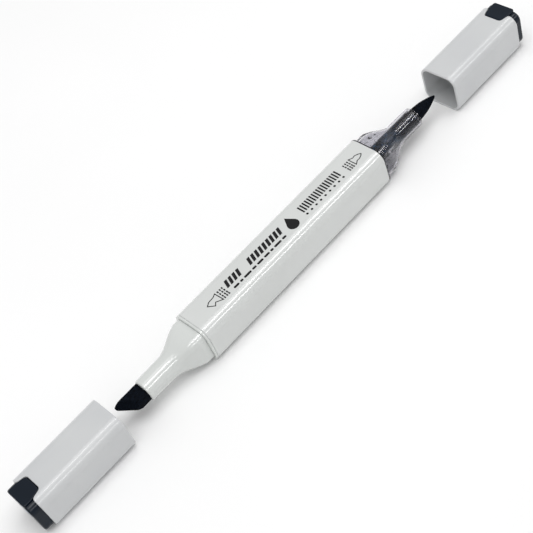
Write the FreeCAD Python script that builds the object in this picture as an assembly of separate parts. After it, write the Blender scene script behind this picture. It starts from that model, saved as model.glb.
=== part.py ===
import FreeCAD, Part
import math
import os

# A marker with a felt nib at each end and a cap for each nib. Lengths are in millimetres.
# The marker lies along X on a flat side. The origin is the middle of the barrel's underside,
# +X runs to the brush nib, and the printed side faces +Z. Every piece is first made on the
# X axis with its outer end towards +X, and is then turned and moved to its place.

# Outer section, shared by the barrel, the flanges and the caps
body_width = 15.0
body_corner = 3.75
edge_round = 0.3

# Barrel
barrel_length = 82.6
barrel_wall = 1.0
rib_width = 1.2

# Noses: each has a spigot in the barrel, a flange, a straight base, a taper and a neck
spigot_length = 6.0
spigot_wall = 0.8
nose_wall = 1.1
chisel_flange = 0.85
chisel_base = 2.4
chisel_taper = 9.7
chisel_neck = 11.0
chisel_neck_wall = 0.65
chisel_neck_draft = 0.35
brush_flange = 0.4
brush_base = 4.0
brush_taper = 8.1
brush_neck = 10.4
brush_neck_wall = 0.7
brush_neck_draft = 0.4
mouth_round = 0.6

# Socket tube inside each nose, which leads the nib's shank to the reservoir
socket_wall = 1.0
socket_back = 4.0
brush_socket_front = 12.4
collar_thick = 0.9
grip_ribs = 6
grip_rib_width = 0.9
grip_rib_height = 0.45

# Nibs
chisel_nib_width = 6.5
chisel_nib_thick = 4.3
chisel_nib_corner = 1.2
chisel_nib_long = 9.4
chisel_nib_short = 5.3
chisel_nib_blunt = 1.0
chisel_nib_seat = 1.0
chisel_bevel_length = 2.4
chisel_edge_thick = 0.9
chisel_shank_step = 0.2
brush_nib_width = 5.0
brush_nib_length = 10.9
brush_tip_radius = 0.4
brush_shank_width = 3.6
shank_in_reservoir = 7.0

# Reservoir
film_gap = 0.25
film_thick = 0.2
reservoir_gap = 0.5

# Caps
cap_wall = 0.85
cap_clearance = 0.2
seat_gap = 0.15
tip_room = 1.8
park_gap = 3.0
rim_below_top = 3.3
notch_depth = 3.65
notch_top = 8.6
notch_bottom = 6.85
notch_round = 1.1
ledge_thick = 1.0
ledge_depth = 0.8

# Colour plug and liner of each cap
plug_round = 0.75
plug_top = 1.2
plug_wall = 1.0
plug_below_notch = 1.6
tab_sink = 0.1
tab_gap = 0.1
liner_wall = 0.9
liner_end = 0.8
liner_flange = 1.0
liner_mouth_gap = 0.6
plug_to_liner = 0.2
liner_room = 0.2

# Fits between pieces of one body
press_gap = 0.05
shank_gap = 0.05

# How far one form runs into the next before the two are joined into one solid
bite = 0.5

# Worked out from the sizes above
axis_height = body_width / 2
barrel_bore = body_width - 2 * barrel_wall
cap_bore = body_width - 2 * cap_wall
base_width = cap_bore - 2 * cap_clearance
spigot_width = barrel_bore - 2 * press_gap
spigot_bore = spigot_width - 2 * spigot_wall
film_outside = spigot_bore - 2 * film_gap
chisel_shank_width = chisel_nib_thick - chisel_shank_step
chisel_neck_mouth = chisel_nib_width + 2 * (shank_gap + chisel_neck_wall)
chisel_neck_root = chisel_neck_mouth + chisel_neck_draft
brush_neck_bore = brush_nib_width + 2 * (shank_gap + grip_rib_height)
brush_neck_mouth = brush_neck_bore + 2 * brush_neck_wall
brush_neck_root = brush_neck_mouth + brush_neck_draft
reservoir_end = socket_back + reservoir_gap
shank_back = reservoir_end + shank_in_reservoir
plug_width = cap_bore - 2 * press_gap
X_AXIS = FreeCAD.Vector(1, 0, 0)


def corner_of(width):
    """Corner radius of a section concentric with the outer one, at a smaller width."""
    return body_corner - (body_width - width) / 2


def section(x, width, corner, height=None):
    """Closed outline of a rectangle with round corners, across the axis at x."""
    y = width / 2
    z = (height or width) / 2
    diagonal = corner * (1 - math.sqrt(0.5))
    edges = []
    for side_y, side_z in ((1, 1), (-1, 1), (-1, -1), (1, -1)):
        along_z = FreeCAD.Vector(x, side_y * y, side_z * (z - corner))
        middle = FreeCAD.Vector(x, side_y * (y - diagonal), side_z * (z - diagonal))
        along_y = FreeCAD.Vector(x, side_y * (y - corner), side_z * z)
        arc_ends = (along_z, along_y) if side_y == side_z else (along_y, along_z)
        if edges:
            edges.append(Part.makeLine(edges[-1].lastVertex().Point, arc_ends[0]))
        edges.append(Part.Arc(arc_ends[0], middle, arc_ends[1]).toShape())
    edges.append(Part.makeLine(edges[-1].lastVertex().Point, edges[0].firstVertex().Point))
    return Part.Wire(edges)


def prism(x0, x1, width, corner, height=None):
    """Solid of one section between two places on the axis."""
    face = Part.Face(section(x0, width, corner, height))
    return face.extrude(FreeCAD.Vector(x1 - x0, 0, 0))


def rod(x0, x1, width):
    return Part.makeCylinder(width / 2, x1 - x0, FreeCAD.Vector(x0, 0, 0), X_AXIS)


def cone(x0, x1, width0, width1):
    return Part.makeCone(width0 / 2, width1 / 2, x1 - x0, FreeCAD.Vector(x0, 0, 0), X_AXIS)


def round_end(shape, x, radius):
    """Rounds the edges that lie in the plane across the axis at x."""
    near = 1e-4
    edges = [edge for edge in shape.Edges
             if abs(edge.BoundBox.XMin - x) < near and abs(edge.BoundBox.XMax - x) < near]
    return shape.makeFillet(radius, edges)


def taper_width(part, root, neck):
    """Width along a nose's taper, from its root (part 0) to its neck (part 1)."""
    fade = 1 - part + 0.045 * math.sin(2 * math.pi * part)
    return neck + (root - neck) * fade


def taper(x0, length, root, root_corner, neck, last_part=1.0):
    """Loft whose section turns from a rounded square into a circle as it narrows."""
    root_share = root_corner / (root / 2)
    steps = 6
    wires = []
    for step in range(steps + 1):
        part = last_part * step / steps
        width = taper_width(part, root, neck)
        corner = width / 2 * (root_share + (0.985 - root_share) * part)
        wires.append(section(x0 + length * part, width, corner))
    return Part.makeLoft(wires, True, False)


def make_barrel():
    half = barrel_length / 2
    tube = prism(-half, half, body_width, body_corner)
    for x in (-half, half):
        tube = round_end(tube, x, edge_round)
    tube = tube.cut(prism(-half, half, barrel_bore, corner_of(barrel_bore)))
    rib_length = barrel_length - 2 * (spigot_length + reservoir_gap)
    rib_reach = film_outside / 2 + press_gap
    rib_height = barrel_bore / 2 - rib_reach
    for side in range(4):
        rib = Part.makeBox(rib_length, rib_width, rib_height + barrel_wall / 2,
                           FreeCAD.Vector(-rib_length / 2, -rib_width / 2, rib_reach))
        rib.rotate(FreeCAD.Vector(), X_AXIS, 90 * side)
        tube = tube.fuse(rib)
    return tube.removeSplitter()


def nose_outside(flange, base, taper_length, neck_length, neck_root, neck_mouth):
    """Solid outer form of a nose, from the back of its spigot to its mouth."""
    ring = prism(0, flange, body_width, body_corner)
    for x in (0, flange):
        ring = round_end(ring, x, min(edge_round, 0.4 * flange))
    spigot = prism(-spigot_length, flange / 2, spigot_width, corner_of(spigot_width))
    taper_start = flange + base
    neck_start = taper_start + taper_length
    mouth = neck_start + neck_length
    straight = prism(0, taper_start, base_width, corner_of(base_width))
    slope = taper(taper_start, taper_length, base_width, corner_of(base_width), neck_root)
    neck = cone(neck_start - bite, mouth, neck_root, neck_mouth)
    neck = round_end(neck, mouth, mouth_round)
    return ring.fuse([spigot, straight, slope, neck])


def nose_hollow(flange, base, taper_length, neck_root, last_part):
    """Space inside a nose, behind the part of its taper where the wall fills in."""
    inside = base_width - 2 * nose_wall
    inside_neck = neck_root - 2 * nose_wall
    behind = prism(-spigot_length, -bite, spigot_bore, corner_of(spigot_bore))
    taper_start = flange + base
    straight = prism(-bite, taper_start, inside, corner_of(inside))
    slope = taper(taper_start, taper_length, inside, corner_of(inside), inside_neck, last_part)
    return behind.fuse([straight, slope])


def make_chisel_nose():
    """Opaque nose whose mouth fits the flat sides of the chisel nib."""
    hollow_part = 0.62
    body = nose_outside(chisel_flange, chisel_base, chisel_taper, chisel_neck,
                        chisel_neck_root, chisel_neck_mouth)
    body = body.cut(nose_hollow(chisel_flange, chisel_base, chisel_taper,
                                chisel_neck_root, hollow_part))
    hollow_end = chisel_flange + chisel_base + hollow_part * chisel_taper
    tube_bore = chisel_shank_width + 2 * shank_gap
    body = body.fuse(rod(-socket_back, hollow_end + bite, tube_bore + 2 * socket_wall))
    body = body.cut(rod(-socket_back - bite, chisel_mouth, tube_bore))
    body = body.cut(prism(chisel_shoulder, chisel_mouth + bite,
                          chisel_nib_width + 2 * shank_gap, chisel_nib_corner + shank_gap,
                          chisel_nib_thick + 2 * shank_gap))
    return body.removeSplitter()


def make_brush_nose():
    """Clear nose: outer shell, and a socket tube that hangs from ribs inside its neck."""
    body = nose_outside(brush_flange, brush_base, brush_taper, brush_neck,
                        brush_neck_root, brush_neck_mouth)
    body = body.cut(nose_hollow(brush_flange, brush_base, brush_taper, brush_neck_root, 1.0))
    body = body.cut(rod(brush_neck_start - bite, brush_mouth + bite, brush_neck_bore))
    tube_bore = brush_shank_width + 2 * shank_gap
    tube_width = tube_bore + 2 * socket_wall
    collar_end = brush_socket_front + collar_thick
    collar_width = brush_neck_bore + brush_neck_wall
    body = body.fuse(rod(-socket_back, collar_end, tube_width))
    body = body.fuse(rod(brush_socket_front, collar_end, collar_width))
    rib_reach = brush_nib_width / 2 + shank_gap
    rib_length = brush_mouth - mouth_round - brush_socket_front
    for turn in range(grip_ribs):
        rib = Part.makeBox(rib_length, grip_rib_width, collar_width / 2 - rib_reach,
                           FreeCAD.Vector(brush_socket_front, -grip_rib_width / 2, rib_reach))
        rib.rotate(FreeCAD.Vector(), X_AXIS, 360 / grip_ribs * turn)
        body = body.fuse(rib)
    body = body.cut(rod(-socket_back - bite, brush_mouth, tube_bore))
    return body.removeSplitter()


def slanted_waste(outline, tip, slope):
    """Waste to cut from the chisel nib, with its outline repeated along the slanted edge.

    The outline's points are (distance ahead of the edge, height)."""
    reach = chisel_nib_width / 2 + bite
    ends = []
    for y in (-reach, reach):
        edge_x = tip - (y + chisel_nib_width / 2 - chisel_nib_blunt) * slope
        points = [FreeCAD.Vector(edge_x + ahead, y, z) for ahead, z in outline]
        ends.append(Part.makePolygon(points + points[:1]))
    return Part.makeLoft(ends, True, True)


def make_chisel_nib():
    """Felt block with a slanted chisel edge, blunt at its long corner, and a round shank."""
    tip = chisel_mouth + chisel_nib_long
    slope = (chisel_nib_long - chisel_nib_short) / (chisel_nib_width - chisel_nib_blunt)
    face = chisel_nib_thick / 2
    edge = chisel_edge_thick / 2
    fall = (face - edge) / chisel_bevel_length
    far = chisel_nib_width + chisel_bevel_length
    block = prism(chisel_shoulder, tip, chisel_nib_width, chisel_nib_corner, chisel_nib_thick)
    for side in (1, -1):
        bevel = [(-chisel_bevel_length - bite, side * (face + fall * bite)),
                 (bite, side * (edge - fall * bite)),
                 (bite, side * (face + bite)),
                 (-chisel_bevel_length - bite, side * (face + bite))]
        block = block.cut(slanted_waste(bevel, tip, slope))
    beyond = [(0, -2 * face), (0, 2 * face), (far, 2 * face), (far, -2 * face)]
    block = block.cut(slanted_waste(beyond, tip, slope))
    shank = rod(-shank_back, chisel_shoulder + bite, chisel_shank_width)
    return block.fuse(shank).removeSplitter()


def make_brush_nib():
    """Pointed flexible nib: an ogive on a round shank."""
    radius = brush_nib_width / 2
    root = brush_mouth
    tip = root + brush_nib_length
    shoulder = brush_socket_front + collar_thick
    tip_centre = tip - brush_tip_radius
    # The side is one circle that leaves the root straight along the axis and meets the tip's
    # own circle, so its radius follows from the nib's length and width.
    reach = tip_centre - root
    fall = radius - brush_tip_radius
    side_radius = (reach ** 2 + fall ** 2) / (2 * fall) + brush_tip_radius
    centre_z = radius - side_radius
    meet = math.atan2(reach, -centre_z)
    join = FreeCAD.Vector(root + side_radius * math.sin(meet), 0,
                          centre_z + side_radius * math.cos(meet))
    halfway = FreeCAD.Vector(root + side_radius * math.sin(meet / 2), 0,
                             centre_z + side_radius * math.cos(meet / 2))
    bend = meet + (math.pi / 2 - meet) / 2
    tip_middle = FreeCAD.Vector(tip_centre + brush_tip_radius * math.sin(bend), 0,
                                brush_tip_radius * math.cos(bend))
    shank_radius = brush_shank_width / 2
    back = FreeCAD.Vector(-shank_back, 0, 0)
    shank_corner = FreeCAD.Vector(-shank_back, 0, shank_radius)
    shank_front = FreeCAD.Vector(shoulder, 0, shank_radius)
    step_top = FreeCAD.Vector(shoulder, 0, radius)
    side_start = FreeCAD.Vector(root, 0, radius)
    end = FreeCAD.Vector(tip, 0, 0)
    outline = Part.Wire([
        Part.makeLine(back, shank_corner),
        Part.makeLine(shank_corner, shank_front),
        Part.makeLine(shank_front, step_top),
        Part.makeLine(step_top, side_start),
        Part.Arc(side_start, halfway, join).toShape(),
        Part.Arc(join, tip_middle, end).toShape(),
        Part.makeLine(end, back),
    ])
    return Part.Face(outline).revolve(FreeCAD.Vector(), X_AXIS, 360)


def make_reservoir():
    """Fibre core with a blind hole at each end for a shank, and the film round it."""
    half = barrel_length / 2 - reservoir_end
    core_width = film_outside - 2 * film_thick
    core = rod(-half, half, core_width)
    core = core.cut(rod(half - shank_in_reservoir, half + bite, brush_shank_width))
    core = core.cut(rod(-half - bite, -half + shank_in_reservoir, chisel_shank_width))
    film = rod(-half, half, film_outside).cut(rod(-half, half, core_width))
    return core, film


def bend(start, corner, end):
    """Short curve that rounds a corner of an outline."""
    curve = Part.BezierCurve()
    curve.setPoles([start, corner, end])
    return curve.toShape()


def notch_face(gap, top_x, bottom_x, z, flare):
    """Face of the tab, or of its notch, in a cap's +Z side: a trapezoid with round corners.

    The notch flares where it meets the rim, and the tab runs straight up from there."""
    wide = notch_top / 2 - gap
    narrow = notch_bottom / 2 - gap
    rim_x = bottom_x + notch_depth - gap
    flank = math.hypot(notch_depth, wide - narrow)
    cut_x = notch_round * notch_depth / flank
    cut_y = notch_round * (wide - narrow) / flank
    edges = []
    ends = []
    for side in (-1, 1):
        def at(x, y):
            return FreeCAD.Vector(x, side * y, z)
        if flare:
            top = at(top_x, wide + notch_round)
            rim = at(rim_x, wide + notch_round)
            flank_start = at(rim_x - cut_x, wide - cut_y)
            edges.append(bend(rim, at(rim_x, wide), flank_start))
        else:
            top = at(top_x, wide)
            rim = flank_start = at(rim_x, wide)
        flank_end = at(bottom_x + cut_x, narrow + cut_y)
        inward = at(bottom_x, narrow - notch_round)
        edges.append(Part.makeLine(top, rim))
        edges.append(Part.makeLine(flank_start, flank_end))
        edges.append(bend(flank_end, at(bottom_x, narrow), inward))
        ends.append((top, inward))
    edges.append(Part.makeLine(ends[0][0], ends[1][0]))
    edges.append(Part.makeLine(ends[0][1], ends[1][1]))
    return Part.Face(Part.Wire(Part.__sortEdges__(edges)))


def liner_width(neck_root):
    """Outside diameter of the liner that closes round a neck."""
    return neck_root + 2 * (cap_clearance + liner_wall)


def liner_space(start, end, neck_root):
    """What is cut from a piece between start and end, so that the liner passes through it."""
    return rod(start, end, liner_width(neck_root) + 2 * liner_room)


def make_cap_shell(length, neck_root):
    """Outer sleeve of a cap, open at both ends, with a ledge inside and a notch at its rim."""
    rim = length - rim_below_top
    sleeve = prism(0, rim, body_width, body_corner)
    for x in (0, rim):
        sleeve = round_end(sleeve, x, edge_round)
    sleeve = sleeve.cut(prism(0, rim, cap_bore, corner_of(cap_bore)))
    ledge_top = plug_bottom(length) - liner_flange
    ledge_hole = cap_bore - 2 * ledge_depth
    ledge = prism(ledge_top - ledge_thick, ledge_top, cap_bore + cap_wall,
                  corner_of(cap_bore + cap_wall))
    ledge = ledge.cut(prism(ledge_top - ledge_thick, ledge_top, ledge_hole,
                            corner_of(ledge_hole)))
    ledge = ledge.cut(liner_space(ledge_top - ledge_thick, ledge_top, neck_root))
    notch = notch_face(0, rim + bite, rim - notch_depth, body_width / 4, True)
    notch = notch.extrude(FreeCAD.Vector(0, 0, body_width / 2))
    return sleeve.fuse(ledge).cut(notch).removeSplitter()


def plug_bottom(length):
    return length - rim_below_top - notch_depth - plug_below_notch


def make_cap_insert(length, neck_root):
    """Colour plug: a hollow square lid with a tab that comes down one side."""
    bottom = plug_bottom(length)
    plug = prism(bottom, length, plug_width, corner_of(plug_width))
    plug = round_end(plug, length, plug_round)
    inside = plug_width - 2 * plug_wall
    plug = plug.cut(prism(bottom, length - plug_top, inside, corner_of(inside)))
    plug = plug.cut(liner_space(bottom, length - plug_top, neck_root))
    tab_face = body_width / 2 - tab_sink
    tab_bottom = length - rim_below_top - notch_depth + tab_gap
    root = plug_width / 2 - plug_wall / 2
    tab = notch_face(tab_gap, length - plug_round, tab_bottom, root, False)
    tab = tab.extrude(FreeCAD.Vector(0, 0, tab_face - root))
    near = 0.01
    top_edges = [edge for edge in tab.Edges
                 if edge.BoundBox.XMin > length - plug_round - near
                 and edge.BoundBox.ZMin > tab_face - near]
    tab = tab.makeFillet(0.8 * (tab_face - plug_width / 2), top_edges)
    return plug.fuse(tab).removeSplitter()


def make_cap_liner(length, neck_start, neck_root):
    """Inner cap that closes round the neck. Its flange sits between the ledge and the plug."""
    bore = neck_root + 2 * cap_clearance
    mouth = neck_start + liner_mouth_gap
    end = length - plug_top - plug_to_liner
    flange_top = plug_bottom(length)
    cup = rod(mouth, end, liner_width(neck_root))
    cup = cup.fuse(prism(flange_top - liner_flange, flange_top, plug_width,
                         corner_of(plug_width)))
    return cup.cut(rod(mouth, end - liner_end, bore)).removeSplitter()


def place(shape, start, turned):
    """Moves a piece to the height of the axis, and for the chisel end turns it end for end."""
    shape = shape.copy()
    shape.translate(FreeCAD.Vector(start, 0, 0))
    if turned:
        shape.rotate(FreeCAD.Vector(), FreeCAD.Vector(0, 0, 1), 180)
    shape.translate(FreeCAD.Vector(0, 0, axis_height))
    return shape


def cap_pieces(end, tip, flange, neck_start, neck_root, turned):
    """The three pieces of one cap, drawn off its nib and in line with it."""
    seated_mouth = flange + seat_gap
    length = tip - seated_mouth + tip_room + liner_end + plug_to_liner + plug_top
    parked = barrel_length / 2 + tip + park_gap
    pieces = {
        "shell": make_cap_shell(length, neck_root),
        "insert": make_cap_insert(length, neck_root),
        "liner": make_cap_liner(length, neck_start - seated_mouth, neck_root),
    }
    travel = tip + park_gap - seated_mouth
    print(f"{end} cap: length {length:.2f}, travel {travel:.2f}, parked from {parked:.2f}")
    return {f"{end}_cap_{name}": place(piece, parked, turned)
            for name, piece in pieces.items()}


# Places along each nose, from the barrel's end
chisel_neck_start = chisel_flange + chisel_base + chisel_taper
chisel_mouth = chisel_neck_start + chisel_neck
chisel_shoulder = chisel_neck_start - chisel_nib_seat
brush_neck_start = brush_flange + brush_base + brush_taper
brush_mouth = brush_neck_start + brush_neck

nodes = {
    "barrel": place(make_barrel(), 0, False),
    "chisel_nose": place(make_chisel_nose(), barrel_length / 2, True),
    "chisel_nib": place(make_chisel_nib(), barrel_length / 2, True),
    "brush_nose": place(make_brush_nose(), barrel_length / 2, False),
    "brush_nib": place(make_brush_nib(), barrel_length / 2, False),
}
core, film = make_reservoir()
nodes["reservoir_core"] = place(core, 0, False)
nodes["reservoir_film"] = place(film, 0, False)
nodes.update(cap_pieces("chisel", chisel_mouth + chisel_nib_long, chisel_flange,
                        chisel_neck_start, chisel_neck_root, True))
nodes.update(cap_pieces("brush", brush_mouth + brush_nib_length, brush_flange,
                        brush_neck_start, brush_neck_root, False))

os.makedirs("parts", exist_ok=True)
for name, shape in nodes.items():
    solids = shape.Solids
    box = shape.BoundBox
    print(f"{name}: {len(solids)} solid, valid {shape.isValid()}, {shape.Volume:.1f} mm3,"
          f" x {box.XMin:.2f}..{box.XMax:.2f}, z {box.ZMin:.2f}..{box.ZMax:.2f}")
    solids[0].exportStep(f"parts/{name}.step")
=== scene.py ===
import math

import bmesh
import bpy
from mathutils import Matrix, Vector, noise


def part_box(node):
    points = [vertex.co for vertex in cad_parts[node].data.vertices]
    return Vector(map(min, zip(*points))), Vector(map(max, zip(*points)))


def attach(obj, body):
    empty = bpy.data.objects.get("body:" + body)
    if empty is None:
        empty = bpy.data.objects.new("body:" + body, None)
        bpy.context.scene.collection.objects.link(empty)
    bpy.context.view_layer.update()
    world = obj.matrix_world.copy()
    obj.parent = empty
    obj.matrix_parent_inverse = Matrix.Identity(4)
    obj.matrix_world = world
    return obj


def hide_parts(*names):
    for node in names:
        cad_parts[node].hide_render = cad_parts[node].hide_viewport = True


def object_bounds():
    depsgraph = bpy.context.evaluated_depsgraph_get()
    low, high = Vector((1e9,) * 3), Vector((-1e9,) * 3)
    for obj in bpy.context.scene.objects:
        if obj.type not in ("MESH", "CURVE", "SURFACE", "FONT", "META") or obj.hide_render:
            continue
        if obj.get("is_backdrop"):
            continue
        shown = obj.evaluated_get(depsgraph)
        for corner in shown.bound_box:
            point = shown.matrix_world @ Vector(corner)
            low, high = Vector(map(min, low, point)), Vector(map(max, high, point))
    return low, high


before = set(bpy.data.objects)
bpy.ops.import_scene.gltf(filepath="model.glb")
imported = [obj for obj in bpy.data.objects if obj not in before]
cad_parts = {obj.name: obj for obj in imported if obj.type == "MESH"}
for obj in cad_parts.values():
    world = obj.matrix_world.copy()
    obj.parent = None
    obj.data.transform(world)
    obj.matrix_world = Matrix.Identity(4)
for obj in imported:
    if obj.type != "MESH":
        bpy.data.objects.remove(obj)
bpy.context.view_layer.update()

# A square marker with a nib at each end, drawn with both caps pulled off in line. Shapes are
# worked out in millimetres from the marker's axis and stored in metres. Each nose, nib and cap
# is made with its outer end towards +X, from its own start, and is then put in its place.
MM = 0.001


# ---------------------------------------------------------------- sizes

def span(node):
    """Lowest and highest corner of a CAD node, in millimetres."""
    low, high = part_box(node)
    return low / MM, high / MM


barrel_low, barrel_high = span("barrel")
HALF = (barrel_high.y - barrel_low.y) / 2          # half the width across the flats
AXIS_Z = (barrel_high.z + barrel_low.z) / 2
CORNER = HALF / 2                                  # outer corner radius
FLAT = 2 * (HALF - CORNER)                         # flat strip of each side
ARC = CORNER * math.pi / 2
AROUND = 4 * (FLAT + ARC)
CORNER_STEPS = 12
FLAT_STEPS = 8
EDGE = 0.3                                         # rounding of the moulded ends
GAP = 0.05                                         # press fit between a nib and its nose

# Where each nose and each cap starts, and which way it points
CHISEL_NOSE = {"start": barrel_low.x, "way": -1}
BRUSH_NOSE = {"start": barrel_high.x, "way": 1}
CHISEL_CAP = {"start": span("chisel_cap_shell")[1].x, "way": -1}
BRUSH_CAP = {"start": span("brush_cap_shell")[0].x, "way": 1}

# Noses: lengths along the axis, and the radii of the neck
ROOT_INSET = 1.05
NOSE_WALL = 1.1
SPIGOT = 6.0
SPIGOT_WALL = 0.8
CHISEL_SHAPE = {"flange": 0.85, "lip": 0.3, "base": 2.4, "taper": 9.7, "neck": 11.0,
                "root": 4.125, "mouth": 3.95, "round": 0.5}
BRUSH_SHAPE = {"flange": 0.4, "lip": 0.16, "base": 4.0, "taper": 8.1, "neck": 10.4,
               "root": 3.9, "mouth": 3.7, "round": 0.6}

# Nibs
CHISEL_NIB = {"width": 3.25, "thick": 2.15, "corner": 1.2, "short": 5.3, "blunt": 1.0,
              "bevel": 2.4, "edge": 0.45}
BRUSH_RADIUS = 2.5
BRUSH_TIP = 0.4
SHANK = 1.8

# Caps
CAP_WALL = 0.85
RIM_BELOW_TOP = 3.3
NOTCH_DEPTH = 3.65
NOTCH_TOP = 4.3
NOTCH_BOTTOM = 3.425
NOTCH_ROUND = 1.1
PLUG_INSET = CAP_WALL + GAP
PLUG_ROUND = 0.75
PLUG_BELOW_NOTCH = 1.6
LEDGE = 1.0
LEDGE_DEPTH = 0.8
TAB_FACE = HALF - 0.1


def length_to(shape, part):
    """Distance along a nose from the barrel to where its taper, neck or nib starts."""
    total = shape["flange"] + shape["base"]
    if part != "taper":
        total += shape["taper"]
    if part == "nib":
        total += shape["neck"]
    return total


# ---------------------------------------------------------------- outlines

def side_points():
    """Distances along the outer section's outline, for the whole way round."""
    places = []
    for quarter in range(4):
        start = quarter * (FLAT + ARC)
        places += [start + FLAT * step / FLAT_STEPS for step in range(FLAT_STEPS)]
        places += [start + FLAT + ARC * step / CORNER_STEPS for step in range(CORNER_STEPS)]
    return places


PLACES = side_points()


def on_outline(place):
    """Point (y, z) and outward direction at a distance along the outer section's outline.

    Distance 0 is where the top flat starts, on the +Y side, and the outline runs towards -Y."""
    quarter, rest = divmod(place, FLAT + ARC)
    turn = quarter * math.pi / 2
    if rest <= FLAT:
        y, z, ny, nz = FLAT / 2 - rest, HALF, 0.0, 1.0
    else:
        bend = (rest - FLAT) / CORNER
        y = -FLAT / 2 - CORNER * math.sin(bend)
        z = FLAT / 2 + CORNER * math.cos(bend)
        ny, nz = -math.sin(bend), math.cos(bend)
    cos, sin = math.cos(turn), math.sin(turn)
    return (y * cos - z * sin, y * sin + z * cos), (ny * cos - nz * sin, ny * sin + nz * cos)


def surface_point(place, x, inset):
    """Point inside the outer section by inset, at a distance along its outline."""
    (y, z), (ny, nz) = on_outline(place)
    return (x, y - inset * ny, z - inset * nz)


def square_ring(x, inset):
    """Ring of points across the axis, parallel to the outer section and inside it by inset."""
    return [surface_point(place, x, inset) for place in PLACES]


def directions():
    """Unit directions from the axis to each point of a ring."""
    found = []
    for place in PLACES:
        (y, z), _ = on_outline(place)
        length = math.hypot(y, z)
        found.append((y / length, z / length))
    return found


DIRECTIONS = directions()


def round_ring(x, radius):
    return [(x, radius * y, radius * z) for y, z in DIRECTIONS]


def mixed_ring(x, inset, radius, share):
    """Ring between the square section (share 1) and a circle (share 0)."""
    return [tuple(share * a + (1 - share) * b for a, b in zip(p, q))
            for p, q in zip(square_ring(x, inset), round_ring(x, radius))]


def slot_ring(x, half_y, half_z, corner):
    """Ring on a rectangle with round corners, in the directions of the other rings' points."""
    points = []
    for y, z in DIRECTIONS:
        dy, dz = max(abs(y), 1e-9), max(abs(z), 1e-9)
        centre_y, centre_z = half_y - corner, half_z - corner
        reach = min(half_y / dy, half_z / dz)
        if reach * dy > centre_y and reach * dz > centre_z:
            along = dy * centre_y + dz * centre_z
            off = centre_y ** 2 + centre_z ** 2 - corner ** 2
            reach = along + math.sqrt(max(along ** 2 - off, 0))
        points.append((x, reach * y, reach * z))
    return points


def quarter_turn(steps):
    """(how far along, how far out) round a quarter circle of radius 1, from start to end."""
    return [(math.sin(math.pi / 2 * step / steps), 1 - math.cos(math.pi / 2 * step / steps))
            for step in range(steps + 1)]


def rounded_end(x, way, radius, inset, steps=5):
    """Rings round the moulded edge of a square tube that ends at x, from its side to its end."""
    return [square_ring(x - way * radius * (1 - along), inset + radius * out)
            for along, out in quarter_turn(steps)]


def curve(start, corner, end, steps=8):
    """Points along the short curve that rounds a corner of an outline."""
    points = []
    for step in range(steps + 1):
        t = step / steps
        weights = ((1 - t) ** 2, 2 * t * (1 - t), t ** 2)
        points.append(tuple(sum(w * p[axis] for w, p in zip(weights, (start, corner, end)))
                            for axis in range(2)))
    return points


def straight(start, end, steps):
    """Points along a straight stretch, without its last one."""
    return [tuple(a + (b - a) * step / steps for a, b in zip(start, end))
            for step in range(steps)]


# ---------------------------------------------------------------- mesh tools

class Form:
    """Collects closed surfaces, in millimetres from the axis, and makes one object of them."""

    def __init__(self):
        self.vertices = []
        self.faces = []

    def add_rings(self, rings, closed=False):
        """Surface through rings: joined end to start, or with a centre point at each end."""
        count = len(rings[0])
        base = len(self.vertices)
        self.vertices += [point for ring in rings for point in ring]
        pairs = [(number, number + 1) for number in range(len(rings) - 1)]
        if closed:
            pairs.append((len(rings) - 1, 0))
        for first, second in pairs:
            a, b = base + first * count, base + second * count
            self.faces += [(a + i, a + (i + 1) % count, b + (i + 1) % count, b + i)
                           for i in range(count)]
        if not closed:
            for number in (0, len(rings) - 1):
                self.close_ring(rings[number], base + number * count)

    def close_ring(self, ring, start):
        count = len(ring)
        self.vertices.append(tuple(sum(p[axis] for p in ring) / count for axis in range(3)))
        hub = len(self.vertices) - 1
        self.faces += [(start + i, start + (i + 1) % count, hub) for i in range(count)]

    def put(self, end):
        """Moves everything from distances along a nose or cap to its place."""
        way = end["way"]
        self.vertices = [(end["start"] + way * x, way * y, z) for x, y, z in self.vertices]

    def build(self, name, smooth_angle=32):
        mesh = bpy.data.meshes.new(name)
        scaled = [(x * MM, y * MM, (z + AXIS_Z) * MM) for x, y, z in self.vertices]
        mesh.from_pydata(scaled, [], self.faces)
        clean = bmesh.new()
        clean.from_mesh(mesh)
        bmesh.ops.remove_doubles(clean, verts=clean.verts, dist=0.0005 * MM)
        bmesh.ops.recalc_face_normals(clean, faces=clean.faces)
        clean.to_mesh(mesh)
        clean.free()
        for polygon in mesh.polygons:
            polygon.use_smooth = True
        mesh.set_sharp_from_angle(angle=math.radians(smooth_angle))
        piece = bpy.data.objects.new(name, mesh)
        bpy.context.scene.collection.objects.link(piece)
        return piece


def even_shading(piece):
    """Keeps flat faces flat beside their rounded edges."""
    modifier = piece.modifiers.new("even_shading", "WEIGHTED_NORMAL")
    modifier.keep_sharp = True
    modifier.weight = 100


def finish_piece(piece, material, body, slot, *nodes):
    piece.data.materials.append(material)
    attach(piece, body)
    if nodes:
        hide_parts(*nodes)


# ---------------------------------------------------------------- materials

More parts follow.
